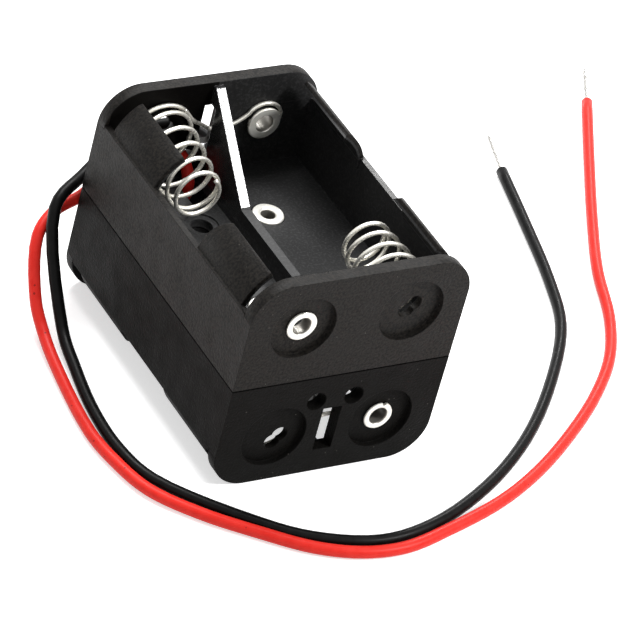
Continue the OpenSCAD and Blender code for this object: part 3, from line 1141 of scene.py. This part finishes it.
BLACK_ROUTE = beside_near([
    [3.5, 1.3, 2.9], [2.7, 2.2, 1.9], [1.8, 3.7, 0.9], [1.2, 5.1, 0.15], [0.85, 6.3, 0],
]) + [[0.75, -8, 13.6], [0.75, 8, 13.6]] + beside_far([
    [0.85, 6.3, 0], [1.2, 5.1, 0.15], [1.65, 4.1, 0.9], [2, 2.9, 1.9], [2.25, 1.5, 2.85],
    [2.35, 0.1, 3.4], [2.35, -3.1, 3.43], [0.4, -6.2, 3.3], [-6, -6.1, 2.5], [-13, -3, 0.3],
]) + [
    [-17.2, 17.2, 12], [-18.5, 8.6, 2.2], [-19.4, 2.9, 1],
] + on_floor([
    [-20.5, -4.2], [-20.6, -10.7], [-19.2, -16], [-11.5, -24.9], [-6.3, -28.9], [0.9, -31.3],
    [8.1, -30.4], [17.4, -26.3], [26.3, -20.1], [34.8, -11.6], [41.4, -2.8], [44.4, 5],
    [47.1, 14.9], [49.7, 25.2],
])
JUMPER_ROUTE = beside_near([
    [-4.2, 1.2, 4], [-3.4, 1.5, 2.9], [-2.5, 2.4, 1.8], [-1.75, 3.8, 0.85],
    [-1.2, 5.1, 0.15], [-0.85, 6.3, 0],
]) + [[-0.75, -8, 13.6], [-0.75, 8, 13.6]] + beside_far([
    [-0.75, 6.2, 0], [-0.65, 4.9, -0.05], [0.3, 3.5, -0.08], [1.5, 2.8, -0.1],
    [2.2, 2.3, -1], [2.9, 1.8, -2.2], [3.5, 1.3, -2.9],
])


@dataclass
class Lead:
    """An insulated wire, and at its free end the bared strands if it has one."""

    node: str
    route: list[list[float]]
    slot: Slot
    far_end: str
    tip_node: str = ""
    tip_end: tuple[float, float, float] = (0.0, 0.0, 0.0)
    strands: int = 6
    pitch: float = 5.2
    seed: int = 3

    def centre_line(self) -> np.ndarray:
        """The wire's middle, in millimetres."""
        return smooth_path(self.route, 5)

    def bare_end(self, finishes: Finishes) -> bpy.types.Object:
        """Makes the bared strands, laid round a middle one."""
        start = np.array(self.route[-1], float)
        end = start + np.array(self.tip_end, float)
        out = (end - start) / np.linalg.norm(end - start)
        reach = float(np.linalg.norm(end - start))
        across = np.cross(out, [0, 0, 1.0])
        up = np.cross(across, out)
        r = SIZES.core_d / 6
        rng = random.Random(self.seed)
        verts: list[np.ndarray] = []
        faces: list[list[int]] = []
        for k in range(self.strands + 1):
            line = []
            stop = reach - rng.uniform(0.0, 0.35)
            for i in range(61):
                s = -0.6 + (stop + 0.6) * i / 60
                turn = 2 * math.pi * (k / self.strands + s / self.pitch)
                out_by = 0.0 if k == self.strands else 2 * r
                loose = max(0.0, s / reach - 0.86) / 0.14
                out_by *= 1 + 0.12 * loose * rng.random()
                line.append(
                    start + out * s + out_by * (math.cos(turn) * across + math.sin(turn) * up)
                )
            v, f = tube_mesh(np.array(line), r, 8, 0.02, len(verts))
            verts += v
            faces += f
        piece = mesh_piece(self.tip_node + "_strands", verts, faces)
        return stand_for(piece, self.tip_node, Slot.TINNED, finishes)

    def build(self, finishes: Finishes) -> bpy.types.Object:
        line = self.centre_line()
        verts, faces = tube_mesh(line, SIZES.lead_d / 2, 18, 0.04)
        piece = mesh_piece(self.node + "_wire", verts, faces)
        stand_for(piece, self.node, self.slot, finishes)
        ends = [self.bare_end(finishes)] if self.tip_node else []
        LOG.info("%s is %.1f mm long", piece.name, path_length(line))
        return piece


# ---- studio


def seen_or_mirrored(sheet: Sheet) -> Any:
    """Mask of the rays from the camera, the mirrored ones and those let through."""
    path = sheet.add("LightPath")
    rays = ("Is Camera Ray", "Is Glossy Ray", "Is Transmission Ray")
    return sheet.most(*(path.outputs[ray] for ray in rays))


@dataclass(frozen=True)
class Lamp:
    """A round lamp: place and width in millimetres, power in watts."""

    name: str
    at: Point
    size: float
    power: float


@dataclass
class Studio:
    """Camera, floor, lamps and surroundings."""

    camera_at: tuple[float, float, float] = (-251.48, -333.10, 315.96)
    right: tuple[float, float, float] = (0.856540, -0.468298, 0.216877)
    up: tuple[float, float, float] = (0.139841, 0.615123, 0.775930)
    back: tuple[float, float, float] = (-0.496773, -0.634288, 0.592365)
    lens_mm: float = 264.0
    ambient: float = 0.38
    floor_half_m: float = 2.5
    floor_glow: float = 0.6
    floor_drop: float = 0.02
    lamps: tuple[Lamp, ...] = (
        Lamp("key", (300.0, -318.0, 428.0), 120.0, 2.8),
        Lamp("rim", (300.0, 382.0, 370.0), 110.0, 1.2),
        Lamp("top", (10.0, 240.0, 520.0), 320.0, 3.6),
    )

    def camera(self) -> None:
        """Makes the scene's camera."""
        data = bpy.data.cameras.new("camera")
        data.lens = self.lens_mm
        data.sensor_width = 36.0
        data.clip_start, data.clip_end = 0.01, 20.0
        made = bpy.data.objects.new("camera", data)
        columns = [Vector(v).normalized() for v in (self.right, self.up, self.back)]
        turn = Matrix(columns).transposed().to_4x4()
        made.matrix_world = Matrix.Translation(Vector(self.camera_at) * MM) @ turn
        bpy.context.scene.collection.objects.link(made)
        bpy.context.scene.camera = made

    def floor(self) -> None:
        """Makes the white floor, which keeps the holder's shadow."""
        half = self.floor_half_m
        mesh = bpy.data.meshes.new("floor")
        mesh.from_pydata(
            [(-half, -half, 0), (half, -half, 0), (half, half, 0), (-half, half, 0)],
            [],
            [(0, 1, 2, 3)],
        )
        made = bpy.data.objects.new("floor", mesh)
        made.location.z = -self.floor_drop * MM
        bpy.context.scene.collection.objects.link(made)
        material = bpy.data.materials.new("floor_white")
        material.use_nodes = True
        sheet = Sheet(material.node_tree)
        seen = seen_or_mirrored(sheet)
        plain = sheet.add("BsdfDiffuse", Color=(0.8, 0.8, 0.8, 1))
        glow = sheet.add("Emission", Color=(1, 1, 1, 1))
        sheet.link(sheet.math("MULTIPLY", seen, self.floor_glow), glow.inputs["Strength"])
        both = sheet.add("AddShader")
        sheet.link(plain.outputs[0], both.inputs[0])
        sheet.link(glow.outputs[0], both.inputs[1])
        out = sheet.add("OutputMaterial")
        sheet.link(both.outputs[0], out.inputs["Surface"])
        made.data.materials.append(material)

    def surroundings(self) -> None:
        """Makes the pale world, white where it is seen or mirrored."""
        world = bpy.data.worlds.new("studio")
        world.use_nodes = True
        bpy.context.scene.world = world
        sheet = Sheet(world.node_tree)
        seen = seen_or_mirrored(sheet)
        sky = sheet.add("Background", Color=(1, 1, 1, 1))
        sheet.link(sheet.span(seen, 0.0, 1.0, self.ambient, 1.0), sky.inputs["Strength"])
        out = sheet.add("OutputWorld")
        sheet.link(sky.outputs[0], out.inputs["Surface"])

    def lights(self) -> None:
        """Makes the soft lamps, each turned to the holder."""
        for lamp in self.lamps:
            data = bpy.data.lights.new(lamp.name, "AREA")
            data.shape = "DISK"
            data.size = lamp.size * MM
            data.energy = lamp.power
            made = bpy.data.objects.new(lamp.name, data)
            made.location = Vector(lamp.at) * MM
            aim = Vector((0, 0, SIZES.tray_h * MM)) - made.location
            made.rotation_mode = "QUATERNION"
            made.rotation_quaternion = aim.to_track_quat("-Z", "Y")
            bpy.context.scene.collection.objects.link(made)

    def build(self) -> None:
        """Makes all of the studio but the camera, which comes first."""
        self.floor()
        self.surroundings()
        self.lights()
        bpy.context.scene.view_settings.view_transform = "Standard"


# ---- assembly


def springs() -> list[ContactSpring]:
    """The four contact springs."""
    rows = (
        # place, side, start, lean, near, lower
        ("upper_left", -1, 48, (0.35, -1.15), False, False),
        ("upper_right", 1, 19, (0.6, 0.43), True, False),
        ("lower_left", -1, 48, (0.3, 0.2), False, True),
        ("lower_right", 1, 30, (0.2, -0.3), True, True),
    )
    return [
        ContactSpring(f"{place}_spring", f"{place}_contact_press", *rest)
        for place, *rest in rows
    ]


def eyelets() -> list[Eyelet]:
    """The four eyelets."""
    rows = (
        # place, side, near, lower, linked, split, split's half width, seed, flange
        ("upper_left", -1, True, False, False, 100, 1.0, 1, 1.82),
        ("upper_right", 1, False, False, True, 200, 4.0, 2, 1.9),
        ("lower_left", -1, False, True, False, 300, 4.0, 3, 1.9),
        ("lower_right", 1, True, True, True, 78, 9.0, 4, 1.75),
    )
    return [
        Eyelet(f"{place}_eyelet", *rest, flange_r=flange) for place, *rest, flange in rows
    ]


def leads() -> list[Lead]:
    """The red and the black lead, and the jumper between the trays."""
    return [
        Lead("red_lead", RED_ROUTE, Slot.RED, "bare", "red_tip", (3.4, 6.2, 0.0), seed=3),
        Lead("black_lead", BLACK_ROUTE, Slot.BLACK, "bare", "black_tip", (2.1, 6.8, 0.0), seed=5),
        Lead("jumper", JUMPER_ROUTE, Slot.BLACK, "object"),
    ]


def main() -> None:
    """Builds the studio and dresses the holder."""
    logging.basicConfig(level=logging.INFO, format="%(name)s: %(message)s")
    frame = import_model()
    studio = Studio()
    studio.camera()
    finishes = Finishes()
    for lead in leads():
        lead.build(finishes)
    studio.build()
    Trays().build(frame["nodes"], finishes)
    for spring in springs():
        spring.build(finishes)
    for node, lower in (("upper_link", False), ("lower_link", True)):
        Link(node, lower).build(finishes)
    for eyelet in eyelets():
        eyelet.build(finishes)
    for node, sign in (("right_rivet", 1), ("left_rivet", -1)):
        Rivet(node, (sign * SIZES.rivet_x, sign * SIZES.rivet_y)).build(finishes)
    for node in ("red_joint", "black_joint", "jumper_near_joint", "jumper_far_joint"):
        finishes.dress(frame["nodes"][node], Slot.SOLDER)
        LOG.info("dressed %s", node)


if __name__ == "__main__":
    main()
